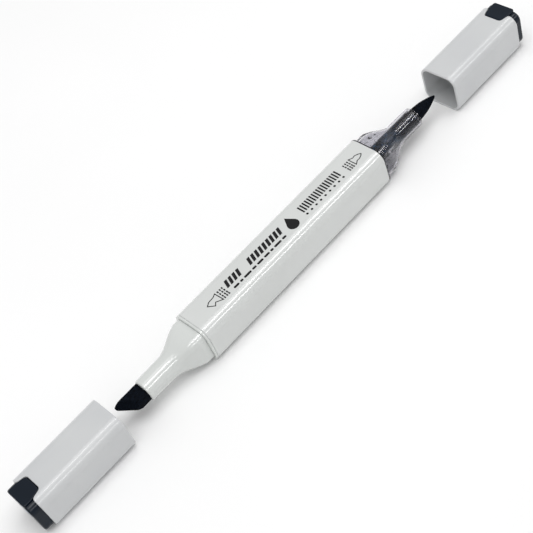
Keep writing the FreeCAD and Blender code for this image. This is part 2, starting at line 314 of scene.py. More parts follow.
class Graph:
    """Short way to write one material's nodes."""

    def __init__(self, name):
        self.material = bpy.data.materials.new(name)
        self.material.use_nodes = True
        self.nodes = self.material.node_tree.nodes
        self.links = self.material.node_tree.links
        self.shader = self.nodes["Principled BSDF"]
        self.position = self.nodes.new("ShaderNodeTexCoord").outputs["Object"]

    def stretch(self, scale):
        """Position scaled along each axis."""
        node = self.nodes.new("ShaderNodeMapping")
        node.inputs["Scale"].default_value = scale
        self.links.new(self.position, node.inputs["Vector"])
        return node.outputs["Vector"]

    def noise(self, per_mm, detail=3.0, vector=None, roughness=0.5):
        node = self.nodes.new("ShaderNodeTexNoise")
        node.inputs["Scale"].default_value = per_mm / MM
        node.inputs["Detail"].default_value = detail
        node.inputs["Roughness"].default_value = roughness
        self.links.new(vector or self.position, node.inputs["Vector"])
        return node.outputs["Fac"]

    def ramp(self, value, *stops):
        node = self.nodes.new("ShaderNodeValToRGB")
        while len(node.color_ramp.elements) < len(stops):
            node.color_ramp.elements.new(0.5)
        for element, (place, colour) in zip(node.color_ramp.elements, stops):
            element.position = place
            element.color = (*colour, 1.0)
        self.links.new(value, node.inputs["Fac"])
        return node.outputs["Color"]

    def number(self, value, low, high, start=0.3, end=0.7):
        """A number that runs from low to high as a noise value runs from start to end."""
        node = self.nodes.new("ShaderNodeMapRange")
        node.inputs["From Min"].default_value = start
        node.inputs["From Max"].default_value = end
        node.inputs["To Min"].default_value = low
        node.inputs["To Max"].default_value = high
        self.links.new(value, node.inputs["Value"])
        return node.outputs["Result"]

    def bump(self, height, depth_mm, strength=1.0, before=None):
        node = self.nodes.new("ShaderNodeBump")
        node.inputs["Strength"].default_value = strength
        node.inputs["Distance"].default_value = depth_mm * MM
        self.links.new(height, node.inputs["Height"])
        if before is not None:
            self.links.new(before, node.inputs["Normal"])
        return node.outputs["Normal"]

    def set(self, **values):
        for key, value in values.items():
            socket = self.shader.inputs[key.replace("_", " ")]
            if hasattr(value, "is_linked"):
                self.links.new(value, socket)
            else:
                socket.default_value = value


def glossy_plastic(name, light, dark, rough, coat=0.5, shine=0.5):
    """Injection-moulded plastic: faint cloudiness, soft waviness and fine rubbed marks."""
    g = Graph(name)
    cloud = g.noise(0.06, 2.0)
    waves = g.noise(0.25, 1.0)
    marks = g.noise(3.0, 4.0, g.stretch((0.06, 1.0, 1.0)))
    normal = g.bump(waves, 0.012, 0.15)
    normal = g.bump(marks, 0.001, 0.06, normal)
    g.set(Base_Color=g.ramp(cloud, (0.3, dark), (0.7, light)),
          Roughness=g.number(marks, rough - 0.02, rough + 0.03), Normal=normal,
          Specular_IOR_Level=shine, Coat_Weight=coat, Coat_Roughness=0.04, IOR=1.49)
    return g.material


def felt_material():
    """Ink-soaked felt: fibres along the nib, with a matted grain."""
    g = Graph("inked_felt")
    fibres = g.noise(5.0, 5.0, g.stretch((0.2, 1.0, 1.0)), 0.65)
    grain = g.noise(8.0, 3.0)
    normal = g.bump(fibres, 0.05, 0.6)
    normal = g.bump(grain, 0.03, 0.45, normal)
    g.set(Base_Color=g.ramp(fibres, (0.42, (0.0004, 0.0006, 0.0015)),
                            (0.68, (0.006, 0.010, 0.018))),
          Roughness=g.number(grain, 0.6, 0.85), Normal=normal, Sheen_Weight=0.01,
          Sheen_Roughness=0.5, Specular_IOR_Level=0.03)
    return g.material


def clear_material():
    """Grey-tinted clear plastic with flow marks."""
    g = Graph("clear_plastic")
    waves = g.noise(0.4, 2.0)
    haze = g.noise(1.2, 3.0)
    g.set(Base_Color=(0.70, 0.695, 0.73, 1), Roughness=g.number(haze, 0.02, 0.05),
          Normal=g.bump(waves, 0.03, 0.2), Transmission_Weight=1.0, IOR=1.33)
    return g.material


def stained_material():
    """Socket plastic that ink has stained navy, paler in places."""
    g = Graph("ink_stained_plastic")
    blots = g.noise(0.5, 4.0, g.stretch((0.5, 1.0, 1.0)), 0.6)
    fine = g.noise(2.0, 3.0)
    g.set(Base_Color=g.ramp(blots, (0.34, (0.001, 0.007, 0.018)), (0.55, (0.006, 0.022, 0.045)),
                            (0.72, (0.02, 0.05, 0.09))),
          Roughness=g.number(fine, 0.2, 0.4), Normal=g.bump(fine, 0.01, 0.3),
          Specular_IOR_Level=0.2)
    return g.material


def blot_material(name, along, start, end, gather=0.0):
    """Film of ink on the inside of the clear nose, which covers it only in blots.

    gather makes the blots gather close to the barrel's rim."""
    g = Graph(name)
    blots = g.noise(0.45, 3.0, g.stretch((along, 1.0, 1.0)), 0.55)
    if gather:
        rim = barrel_high.x * MM
        parts = g.nodes.new("ShaderNodeSeparateXYZ")
        g.links.new(g.position, parts.inputs["Vector"])
        near = g.number(parts.outputs["X"], gather, 0.0, rim, rim + 3.5 * MM)
        total = g.nodes.new("ShaderNodeMath")
        g.links.new(blots, total.inputs[0])
        g.links.new(near, total.inputs[1])
        blots = total.outputs["Value"]
    fine = g.noise(3.0, 3.0)
    g.set(Base_Color=g.ramp(fine, (0.3, (0.0003, 0.003, 0.009)), (0.7, (0.002, 0.010, 0.024))),
          Roughness=g.number(fine, 0.3, 0.45), Normal=g.bump(fine, 0.01, 0.3),
          Specular_IOR_Level=0.15,
          Alpha=g.number(blots, 0.0, 1.0, start, end))
    return g.material


def printed(name, light, dark):
    """Print with slightly uneven ink."""
    g = Graph(name)
    grain = g.noise(5.0, 3.0)
    g.set(Base_Color=g.ramp(grain, (0.3, dark), (0.7, light)),
          Roughness=g.number(grain, 0.35, 0.5), Normal=g.bump(grain, 0.003, 0.3),
          Specular_IOR_Level=0.2)
    return g.material


def fibre_material():
    """Bundle of ink-soaked strands that run along the marker."""
    g = Graph("inked_fibre")
    strands = g.noise(4.0, 4.0, g.stretch((0.05, 1.0, 1.0)))
    g.set(Base_Color=g.ramp(strands, (0.3, (0.01, 0.014, 0.022)), (0.7, (0.05, 0.06, 0.08))),
          Roughness=g.number(strands, 0.8, 0.95), Normal=g.bump(strands, 0.1, 0.6))
    return g.material


def film_material():
    """Thin milky film round the reservoir, creased along its length."""
    g = Graph("reservoir_film")
    creases = g.noise(1.0, 3.0, g.stretch((0.1, 1.0, 1.0)))
    g.set(Base_Color=g.ramp(creases, (0.3, (0.42, 0.45, 0.50)), (0.7, (0.58, 0.60, 0.64))),
          Roughness=g.number(creases, 0.15, 0.3), Normal=g.bump(creases, 0.05, 0.5))
    return g.material


looks = {
    "white": glossy_plastic("white_barrel_plastic", (0.64, 0.655, 0.645), (0.615, 0.63, 0.62),
                            0.14),
    "nose": glossy_plastic("white_nose_plastic", (0.64, 0.66, 0.645), (0.61, 0.63, 0.615), 0.16),
    "cap": glossy_plastic("cap_plastic", (0.58, 0.59, 0.595), (0.55, 0.56, 0.57), 0.3, 0.25),
    "plug": glossy_plastic("dark_plug_plastic", (0.008, 0.014, 0.023), (0.006, 0.010, 0.017), 0.12,
                           0.0, 0.17),
    "liner": glossy_plastic("liner_plastic", (0.7, 0.71, 0.7), (0.64, 0.65, 0.64), 0.45, 0.0),
    "felt": felt_material(),
    "clear": clear_material(),
    "stained": stained_material(),
    "neck_ink": blot_material("neck_ink_film", 0.10, 0.36, 0.44),
    "taper_ink": blot_material("taper_ink_blots", 0.8, 0.63, 0.66, 0.12),
    "ink": printed("print_ink", (0.006, 0.006, 0.007), (0.003, 0.003, 0.004)),
    "mark": printed("mark_ink", (0.62, 0.68, 0.74), (0.5, 0.56, 0.62)),
    "fibre": fibre_material(),
    "film": film_material(),
}


# ---------------------------------------------------------------- barrel and noses

def make_barrel():
    wall = 1.0
    support = 1.2
    x0, x1 = barrel_low.x, barrel_high.x
    rings = rounded_end(x0, -1, EDGE, 0)[::-1]
    rings += [square_ring(x0 + support, 0), square_ring(x1 - support, 0)]
    rings += rounded_end(x1, 1, EDGE, 0)
    rings += [square_ring(x1, wall), square_ring(x0, wall)]
    form = Form()
    form.add_rings(rings, closed=True)
    piece = form.build("barrel_tube")
    even_shading(piece)
    finish_piece(piece, looks["white"], "marker", "barrel_plastic", "barrel")


def fade(part):
    """Share of the square section left along a nose's taper: 1 at its base, 0 at its neck."""
    swell = 0.045
    return 1 - part + swell * math.sin(2 * math.pi * part)


def nose_outside(shape):
    """Rings of a nose's outside, from the back of its spigot to its mouth."""
    groove = 0.06
    flange, lip = shape["flange"], shape["lip"]
    rings = [square_ring(-SPIGOT, ROOT_INSET), square_ring(-groove, ROOT_INSET)]
    rings += [square_ring(lip * (1 - along), lip * out) for along, out in quarter_turn(4)[::-1]]
    rings += rounded_end(flange, 1, lip, 0, 4)
    rings += [square_ring(flange, ROOT_INSET + 2 * groove),
              square_ring(flange + groove, ROOT_INSET)]
    taper_start = length_to(shape, "taper")
    rings += [square_ring(taper_start - back, ROOT_INSET) for back in (0.5, 0.12, 0.0)]
    steps = 16
    for step in range(1, steps + 1):
        part = step / steps
        rings.append(mixed_ring(taper_start + shape["taper"] * part, ROOT_INSET,
                                shape["root"], fade(part)))
    neck_start = length_to(shape, "neck")
    for part in (0.15, 0.4, 0.7, 0.9):
        rings.append(round_ring(neck_start + shape["neck"] * part,
                                shape["root"] + (shape["mouth"] - shape["root"]) * part))
    mouth = length_to(shape, "nib")
    soft = shape["round"]
    rings += [round_ring(mouth - soft * (1 - along), shape["mouth"] - soft * out)
              for along, out in quarter_turn(6)]
    return rings


def make_chisel_nose():
    """Opaque nose with a mouth that fits the flat sides of the chisel nib."""
    chamfer = 0.1
    wide, thick = CHISEL_NIB["width"] + GAP, CHISEL_NIB["thick"] + GAP
    corner = CHISEL_NIB["corner"] + GAP
    shank = CHISEL_NIB["thick"]
    mouth = length_to(CHISEL_SHAPE, "nib")
    neck_start = length_to(CHISEL_SHAPE, "neck")
    stop, hollow = neck_start - 3.5, 4.0
    rings = nose_outside(CHISEL_SHAPE)
    rings += [slot_ring(mouth, wide + chamfer, thick + chamfer, corner + chamfer),
              slot_ring(mouth - chamfer, wide, thick, corner),
              slot_ring(neck_start, wide, thick, corner),
              round_ring(neck_start - 1.0, shank), round_ring(stop, shank),
              round_ring(stop, hollow),
              square_ring(length_to(CHISEL_SHAPE, "taper"), ROOT_INSET + NOSE_WALL),
              square_ring(-SPIGOT, ROOT_INSET + SPIGOT_WALL)]
    form = Form()
    form.add_rings(rings, closed=True)
    form.put(CHISEL_NOSE)
    piece = form.build("chisel_nose_shell")
    even_shading(piece)
    finish_piece(piece, looks["nose"], "marker", "nose_plastic", "chisel_nose")


BORE = BRUSH_RADIUS + GAP + 0.45                   # bore of the brush nose's neck
TUBE_BORE = SHANK + GAP
TUBE_RADIUS = TUBE_BORE + 1.0
TUBE_BACK = -4.0
COLLAR_START = length_to(BRUSH_SHAPE, "neck") - 0.1
COLLAR_END = COLLAR_START + 0.9


def inner_wall(clearance, steps=14):
    """Rings just inside the brush nose's wall, from its base to the start of its neck."""
    start = length_to(BRUSH_SHAPE, "taper")
    rings = [square_ring(x, ROOT_INSET + NOSE_WALL + clearance)
             for x in (BRUSH_SHAPE["flange"], start - 0.5)]
    for step in range(steps + 1):
        part = step / steps
        rings.append(mixed_ring(start + BRUSH_SHAPE["taper"] * part,
                                ROOT_INSET + NOSE_WALL + clearance, BORE - clearance, fade(part)))
    return rings


def make_brush_nose():
    """Clear outer shell, with grip ribs inside its neck."""
    mouth = length_to(BRUSH_SHAPE, "nib")
    rings = nose_outside(BRUSH_SHAPE)
    rings += [round_ring(mouth, BORE + 0.1), round_ring(mouth - 0.1, BORE)]
    rings += inner_wall(0.0)[::-1]
    rings += [square_ring(-0.5, ROOT_INSET + NOSE_WALL),
              square_ring(-SPIGOT, ROOT_INSET + SPIGOT_WALL)]
    form = Form()
    form.add_rings(rings, closed=True)
    form.put(BRUSH_NOSE)
    piece = form.build("brush_nose_shell")
    even_shading(piece)
    finish_piece(piece, looks["clear"], "marker", "clear_plastic", "brush_nose")


def make_grip_ribs():
    """Six ribs along the inside of the neck, which hold the brush nib."""
    count = 6
    half_width = 0.45
    inner, outer = BRUSH_RADIUS + GAP, BORE - 0.01
    x0 = COLLAR_END + 0.05
    x1 = length_to(BRUSH_SHAPE, "nib") - BRUSH_SHAPE["round"]
    soft = 0.12
    form = Form()
    for number in range(count):
        turn = 2 * math.pi * number / count
        cos, sin = math.cos(turn), math.sin(turn)
        outline = [(-half_width, outer), (half_width, outer), (half_width, inner + soft),
                   (half_width - soft, inner), (soft - half_width, inner),
                   (-half_width, inner + soft)]
        rings = []
        for x, shrink in ((x0, 0.8), (x0 + soft, 1.0), (x1 - soft, 1.0), (x1, 0.8)):
            middle = (inner + outer) / 2
            section = [(across * shrink, middle + (out - middle) * shrink)
                       for across, out in outline]
            rings.append([(x, across * cos - out * sin, across * sin + out * cos)
                          for across, out in section])
        form.add_rings(rings)
    form.put(BRUSH_NOSE)
    piece = form.build("brush_nose_ribs")
    finish_piece(piece, looks["clear"], "marker", "clear_plastic", "brush_nose")


def make_socket():
    """Ink-stained tube and collar inside the clear nose, which lead the nib's shank back."""
    soft = 0.12
    collar = BORE - 0.02
    rings = [round_ring(TUBE_BACK, TUBE_BORE + soft), round_ring(TUBE_BACK, TUBE_RADIUS - soft),
             round_ring(TUBE_BACK + soft, TUBE_RADIUS)]
    rings += [round_ring(COLLAR_START - 0.5, TUBE_RADIUS), round_ring(COLLAR_START, TUBE_RADIUS),
              round_ring(COLLAR_START, collar - soft), round_ring(COLLAR_START + soft, collar),
              round_ring(COLLAR_END - soft, collar), round_ring(COLLAR_END, collar - soft),
              round_ring(COLLAR_END, TUBE_BORE + soft), round_ring(COLLAR_END - soft, TUBE_BORE),
              round_ring(TUBE_BACK + soft, TUBE_BORE)]
    form = Form()
    form.add_rings(rings, closed=True)
    form.put(BRUSH_NOSE)
    piece = form.build("brush_nose_socket")
    finish_piece(piece, looks["stained"], "marker", "clear_plastic", "brush_nose")


def make_ink_stains():
    """Two thin films of ink on the inside of the clear nose: one in the neck, one behind it."""
    thin = 0.03
    mouth = length_to(BRUSH_SHAPE, "nib")
    neck = [round_ring(x, BORE - thin) for x in (COLLAR_END + 0.1, mouth - 1.2)]
    neck += [round_ring(x, BORE - 2 * thin) for x in (mouth - 1.2, COLLAR_END + 0.1)]
    taper = inner_wall(thin)[:-1] + inner_wall(2 * thin)[:-1][::-1]
    for name, rings, look in (("neck_ink_film", neck, "neck_ink"),
                              ("taper_ink_blots", taper, "taper_ink")):
        form = Form()
        form.add_rings(rings, closed=True)
        form.put(BRUSH_NOSE)
        finish_piece(form.build(name), looks[look], "marker", "clear_plastic", "brush_nose")


# ---------------------------------------------------------------- nibs

def felt_rough(rings, depth):
    """Moves points in or out a little, as matted fibres do."""
    rough = []
    for ring in rings:
        moved = []
        for x, y, z in ring:
            lump = noise.noise(Vector((0.8 * x, 2.2 * y, 2.2 * z)))
            tuft = noise.noise(Vector((2.5 * x, 7.0 * y, 7.0 * z)))
            grow = 1 + depth * (0.6 * lump + 0.4 * tuft)
            moved.append((x, y * grow, z * grow))
        rough.append(moved)
    return rough


def chisel_reach(y):
    """How far the chisel nib stands out of its mouth at a distance across it."""
    long = abs(span("chisel_nib")[0].x - CHISEL_NOSE["start"]) - length_to(CHISEL_SHAPE, "nib")
    start = -CHISEL_NIB["width"] + CHISEL_NIB["blunt"]
    slope = (long - CHISEL_NIB["short"]) / (CHISEL_NIB["width"] - start)
    rounding = 0.22
    past = y - start
    return long - slope * 0.5 * (past + math.sqrt(past ** 2 + rounding ** 2))


def chisel_ring(share, mouth):
    """Ring of the chisel nib at a share of the way from its mouth to its slanted edge."""
    thick, edge, bevel = CHISEL_NIB["thick"], CHISEL_NIB["edge"], CHISEL_NIB["bevel"]
    soft = 0.12
    points = []
    for _, y, z in slot_ring(0, CHISEL_NIB["width"], thick, CHISEL_NIB["corner"]):
        reach = chisel_reach(y)
        left = (1 - share) * reach
        limit = min(edge + (thick - edge) * left / bevel, thick + soft)
        height = 0.5 * (abs(z) + limit - math.sqrt((abs(z) - limit) ** 2 + soft ** 2))
        points.append((mouth + share * reach, y, math.copysign(max(height, 0), z)))
    return points


def make_chisel_nib():
    """Felt block with two bevels that meet in a slanted edge."""
    mouth = length_to(CHISEL_SHAPE, "nib")
    neck_start = length_to(CHISEL_SHAPE, "neck")
    back = abs(span("chisel_nib")[1].x - CHISEL_NOSE["start"])
    shank = CHISEL_NIB["thick"] - 0.1
    shoulder = neck_start - 1.0
    rings = [round_ring(-back, shank), round_ring(shoulder, shank)]
    rings += [slot_ring(x, CHISEL_NIB["width"], CHISEL_NIB["thick"], CHISEL_NIB["corner"])
              for x in (shoulder, mouth - 1.0, mouth - 0.3)]
    steps = 44
    rings += felt_rough([chisel_ring(step / steps, mouth) for step in range(steps + 1)], 0.014)
    edge = chisel_ring(1.0, mouth)
    reach, shrink = 0.25, 0.07
    for along, out in quarter_turn(4)[1:]:
        rings.append([(x + reach * along, y * (1 - shrink * out), z * (1 - out))
                      for x, y, z in edge])
    form = Form()
    form.add_rings(rings)
    form.put(CHISEL_NOSE)
    piece = form.build("chisel_nib_felt", 50)
    finish_piece(piece, looks["felt"], "marker", "nib_felt", "chisel_nib")


def make_brush_nib():
    """Pointed nib: each side is one long curve that ends in the small round tip."""
    mouth = length_to(BRUSH_SHAPE, "nib")
    tip = span("brush_nib")[1].x - BRUSH_NOSE["start"]
    back = BRUSH_NOSE["start"] - span("brush_nib")[0].x
    reach = tip - BRUSH_TIP - mouth
    fall = BRUSH_RADIUS - BRUSH_TIP
    side_radius = (reach ** 2 + fall ** 2) / (2 * fall) + BRUSH_TIP
    meet = math.asin(reach / (side_radius - BRUSH_TIP))
    rings = [round_ring(-back, SHANK), round_ring(COLLAR_END, SHANK),
             round_ring(COLLAR_END, BRUSH_RADIUS), round_ring(mouth - 0.5, BRUSH_RADIUS)]
    side = []
    for step in range(61):
        turn = meet * step / 60
        side.append(round_ring(mouth + side_radius * math.sin(turn),
                               BRUSH_RADIUS - side_radius * (1 - math.cos(turn))))
    for step in range(1, 8):
        turn = meet + (math.pi / 2 - meet) * step / 8
        side.append(round_ring(tip - BRUSH_TIP + BRUSH_TIP * math.sin(turn),
                               BRUSH_TIP * math.cos(turn)))
    form = Form()
    form.add_rings(rings + felt_rough(side, 0.012))
    form.put(BRUSH_NOSE)
    piece = form.build("brush_nib_felt", 50)
    finish_piece(piece, looks["felt"], "marker", "nib_felt", "brush_nib")


# ---------------------------------------------------------------- caps

INK = 0.02                                         # how far print stands out of the plastic


def notch_half(rim):
    """Half of the rim's line on the notched side, from the notch's middle: (y, x)."""
    bottom = rim - NOTCH_DEPTH
    flank = math.hypot(NOTCH_DEPTH, NOTCH_TOP - NOTCH_BOTTOM)
    cut_x = NOTCH_ROUND * NOTCH_DEPTH / flank
    cut_y = NOTCH_ROUND * (NOTCH_TOP - NOTCH_BOTTOM) / flank
    inward = (NOTCH_BOTTOM - NOTCH_ROUND, bottom)
    flank_end = (NOTCH_BOTTOM + cut_y, bottom + cut_x)
    flank_start = (NOTCH_TOP - cut_y, rim - cut_x)
    points = straight((0, bottom), inward, 5)
    points += curve(inward, (NOTCH_BOTTOM, bottom), flank_end)[:-1]
    points += straight(flank_end, flank_start, 4)
    points += curve(flank_start, (NOTCH_TOP, rim), (NOTCH_TOP + NOTCH_ROUND, rim))
    return points


def rim_line(rim):
    """The whole rim: (distance along the outline, x) for each column of the shell."""
    half = notch_half(rim)
    middle = FLAT / 2
    clear = 0.35
    notch = [(middle - y, x) for y, x in half[::-1]] + [(middle + y, x) for y, x in half[1:]]
    first, last = notch[0][0], notch[-1][0]
    rest = [(place, rim) for place in PLACES if last + clear < place < AROUND + first - clear]
    return notch + rest


def into_wall(line, distance):
    """The rim's line moved into the shell's wall by a distance."""
    if distance == 0:
        return line
    moved = []
    for number, (place, x) in enumerate(line):
        before, after = line[number - 1], line[(number + 1) % len(line)]
        along = (after[0] - before[0]) % AROUND
        rise = after[1] - before[1]
        length = math.hypot(along, rise)
        moved.append((place + distance * rise / length, x - distance * along / length))
    return moved


def make_cap_shell(body, end, length, material):
    """Square sleeve with a rounded lip, a notch in its rim and a ledge inside."""
    rim = length - RIM_BELOW_TOP
    straight_part = 1.3
    below = rim - NOTCH_DEPTH - straight_part
    ledge_top = rim - NOTCH_DEPTH - PLUG_BELOW_NOTCH - LEDGE
    lip = 0.26
    line = rim_line(rim)

    def band(x, inset):
        return [surface_point(place, x, inset) for place, _ in line]

    def lip_band(distance, inset):
        return [surface_point(place, x, inset) for place, x in into_wall(line, distance)]

    rings = [lip_band(lip * out, lip * (1 - along)) for along, out in quarter_turn(5)]
    rings += [lip_band(0.5, 0), band(below, 0), band(below / 2, 0), band(1.0, 0)]
    rings += [band(EDGE * (1 - along), EDGE * out) for along, out in quarter_turn(5)]
    rings += [band(0, CAP_WALL - 0.1), band(0.1, CAP_WALL), band(ledge_top - LEDGE, CAP_WALL),
              band(ledge_top - LEDGE, CAP_WALL + LEDGE_DEPTH),
              band(ledge_top, CAP_WALL + LEDGE_DEPTH), band(ledge_top, CAP_WALL),
              band(below, CAP_WALL), lip_band(0.5, CAP_WALL), lip_band(0.1, CAP_WALL),
              lip_band(0, CAP_WALL - 0.1)]
    form = Form()
    form.add_rings(rings, closed=True)
    form.put(end)
    piece = form.build(body + "_sleeve", 40)
    even_shading(piece)
    finish_piece(piece, material, body, "cap_plastic", body + "_shell")


def tab_outline(length):
    """Outline of the plug's tab, from the top on one side round its foot: (y, x, top edge)."""
    gap = 0.1
    wide, narrow = NOTCH_TOP - gap, NOTCH_BOTTOM - gap
    foot = length - RIM_BELOW_TOP - NOTCH_DEPTH + gap
    rim = foot + NOTCH_DEPTH - gap
    top = length - INK
    flank = math.hypot(NOTCH_DEPTH, wide - narrow)
    cut_x = NOTCH_ROUND * NOTCH_DEPTH / flank
    cut_y = NOTCH_ROUND * (wide - narrow) / flank
    bend = 0.95
    half = straight((0, top), (wide - bend, top), 5)
    half += curve((wide - bend, top), (wide, top), (wide, top - bend))[:-1]
    half += straight((wide, top - bend), (wide, rim), 4)
    half += straight((wide, rim), (narrow + cut_y, foot + cut_x), 5)
    half += curve((narrow + cut_y, foot + cut_x), (narrow, foot), (narrow - NOTCH_ROUND, foot))
    half += [(narrow * 0.35, foot)]
    return half + [(-y, x) for y, x in half[:0:-1]]


def shrink_loop(loop, amounts):
    """Closed outline moved inwards, by its own amount at each point."""
    moved = []
    count = len(loop)
    for number, (a, b) in enumerate(loop):
        before, after = loop[number - 1], loop[(number + 1) % count]
        across, along = after[0] - before[0], after[1] - before[1]
        length = math.hypot(across, along)
        amount = amounts[number]
        moved.append((a + amount * along / length, b - amount * across / length))
    return moved


def tab_rounds(loop):
    """Edge rounding at each point of the tab: large along its top, small down its sides."""
    small, large = 0.2, PLUG_ROUND
    rounds = []
    for number in range(len(loop)):
        before, after = loop[number - 1], loop[(number + 1) % len(loop)]
        across, along = after[0] - before[0], after[1] - before[1]
        facing = max(0.0, -across / math.hypot(across, along))
        rounds.append(small + (large - small) * facing ** 2)
    return rounds


def make_cap_insert(body, end, length):
    """Dark plug: a hollow square lid with rounded edges, and the tab that fills the notch."""
    foot = length - RIM_BELOW_TOP - NOTCH_DEPTH - PLUG_BELOW_NOTCH
    wall = 1.0
    top = 1.2
    inside_top = length - top
    rings = [square_ring(inside_top, PLUG_INSET + wall), square_ring(foot, PLUG_INSET + wall),
             square_ring(foot, PLUG_INSET + 0.1), square_ring(foot + 0.1, PLUG_INSET)]
    rings += [square_ring(length - PLUG_ROUND - 0.8, PLUG_INSET)]
    rings += rounded_end(length, 1, PLUG_ROUND, PLUG_INSET, 8)
    rings += [square_ring(length, PLUG_INSET + PLUG_ROUND + more) for more in (0.4, 1.6)]
    form = Form()
    form.add_rings(rings)
    loop = tab_outline(length)
    if shoelace(loop) > 0:
        loop = loop[::-1]
    rounds = tab_rounds(loop)
    root = HALF - PLUG_INSET - PLUG_ROUND - 0.05
    tab = [[(x, y, root) for y, x in loop]]
    for along, out in quarter_turn(6):
        inner = shrink_loop(loop, [r * out for r in rounds])
        tab.append([(x, y, TAB_FACE - r * (1 - along)) for (y, x), r in zip(inner, rounds)])
    tab.append([(x, y, TAB_FACE) for y, x in shrink_loop(loop, [r + 0.2 for r in rounds])])
    form.add_rings(tab)
    form.put(end)
    piece = form.build(body + "_plug", 40)
    even_shading(piece)
    finish_piece(piece, looks["plug"], body, "plug_plastic", body + "_insert")


def shoelace(loop):
    """Twice the signed area of an outline."""
    return sum(a[0] * b[1] - b[0] * a[1] for a, b in zip(loop, loop[1:] + loop[:1]))


# ---------------------------------------------------------------- print and marks

INTO = 0.01                                        # how far print reaches into the plastic


def circle(across, up, radius, steps=20):
    return [(across + radius * math.cos(2 * math.pi * step / steps),
             up + radius * math.sin(2 * math.pi * step / steps)) for step in range(steps)]


def bar(across, up, width, height, corner):
    """Outline of a bar with round ends, about its middle."""
    outline = []
    for side_a, side_u, start in ((1, 1, 0), (-1, 1, 1), (-1, -1, 2), (1, -1, 3)):
        for step in range(5):
            turn = (start + step / 4) * math.pi / 2
            outline.append((across + side_a * (width / 2 - corner) + corner * math.cos(turn),
                            up + side_u * (height / 2 - corner) + corner * math.sin(turn)))
    return outline


def barrel_point(x, y, lift):
    """Point above the barrel's printed side, at a distance y along its surface."""
    return surface_point(FLAT / 2 - y, x, -lift)


def stroke_side(points, distance):
    """One side of a stroke along a closed line, with mitred corners."""
    side = []
    sharpest = 0.6
    for number, (x, y) in enumerate(points):
        before, after = points[number - 1], points[(number + 1) % len(points)]
        length_in = math.hypot(x - before[0], y - before[1])
        length_out = math.hypot(after[0] - x, after[1] - y)
        along_x = (x - before[0]) / length_in + (after[0] - x) / length_out
        along_y = (y - before[1]) / length_in + (after[1] - y) / length_out
        mitre = 2 * distance / max(along_x ** 2 + along_y ** 2, sharpest)
        side.append((x + mitre * along_y, y - mitre * along_x))
    return side


class Print:
    """Flat shapes of ink on the barrel's printed side, which follow its surface."""

    def __init__(self):
        self.form = Form()

    def plate(self, outline):
        """Shape with its outline given as (x, y)."""
        self.form.add_rings([[barrel_point(x, y, lift) for x, y in outline]
                             for lift in (-INTO, INK)])

    def line(self, points, width):
        """Stroke along points, closed back to its start."""
        outer, inner = (stroke_side(points, way * width / 2) for way in (-1, 1))
        self.form.add_rings([[barrel_point(x, y, lift) for x, y in side]
                             for side, lift in ((outer, INK), (outer, -INTO),
                                                (inner, -INTO), (inner, INK))], closed=True)

    def slanted_bars(self, start, end, y, height, width, pitch, skip=()):
        """Row of parallel slanted bars, with some left out."""
        lean = 0.35 * height
        for number in range(int((end - start - lean) / pitch + 1)):
            if number in skip:
                continue
            x = start + number * pitch
            self.plate([(x, y - height / 2), (x + width, y - height / 2),
                        (x + width + lean, y + height / 2), (x + lean, y + height / 2)])

    def dashes(self, start, end, y, height, lengths, gap):
        """Row of short dashes, which repeats a few lengths in turn."""
        x = start
        number = 0
        while x + lengths[number % len(lengths)] <= end:
            length = lengths[number % len(lengths)]
            self.plate(bar(x + length / 2, y, length, height, height * 0.45))
            x += length + gap
            number += 1


def drop_outline(x, y, radius, tall):
    """Ink drop with its point towards +Y."""
    meet = math.asin(radius / (tall - radius))
    outline = [(x, y + tall - radius)]
    for step in range(25):
        turn = -meet + (math.pi + 2 * meet) * step / 24
        outline.append((x - radius * math.cos(turn), y - radius * math.sin(turn)))
    return outline


def make_print():
    """Generic marks where the barrel is printed. They hold no lettering and no product code."""
    start = barrel_low.x
    ink = Print()
    stroke = 0.32

    # Outline of a chisel nose that points to the chisel end, with two short rows beside it
    nose = [(11.9, 1.1), (10.7, 0.5), (8.5, 0.35), (7.2, -0.5), (8.9, -2.5), (9.4, -2.0),
            (9.9, -1.5), (12.1, -2.9)]
    ink.line([(start + x, y) for x, y in nose], stroke)
    for x in (12.9, 13.9, 14.8):
        for y in (0.7, -0.5, -1.7, -2.7):
            ink.plate(bar(start + x, y, 0.5, 0.85, 0.1))

    ink.slanted_bars(start + 15.8, start + 41.2, 0.45, 3.0, 1.15, 1.72, skip=(4, 5))
    ink.dashes(start + 17.0, start + 43.5, -2.75, 0.85, (2.3, 1.2, 3.1, 1.7, 2.6), 0.6)

    ink.plate(drop_outline(start + 45.6, -1.6, 2.1, 6.3))

    count = 17
    first, last = start + 51.2, start + 68.7
    for number in range(count):
        x = first + (last - first) * number / (count - 1)
        ink.plate(bar(x, 0.2, 0.6, 3.4, 0.05))
    for number in range(9):
        ink.plate(circle(first + (last - first) * number / 8, -2.7, 0.42))

    # Outline of a brush nose that points to the brush end, with two short rows beside it
    for x in (72.1, 73.1, 74.0):
        for y in (0.5, -0.6, -1.7, -2.6):
            ink.plate(bar(start + x, y, 0.5, 0.8, 0.1))
    brush = [(75.0, 0.9), (76.4, 0.1), (77.4, 0.25), (78.7, -0.4), (79.3, -1.0), (78.7, -1.5),
             (77.4, -2.0), (76.4, -1.9), (75.0, -2.8)]
    ink.line([(start + x, y) for x, y in brush], stroke)
    finish_piece(ink.form.build("barrel_print"), looks["ink"], "marker", "print_ink")


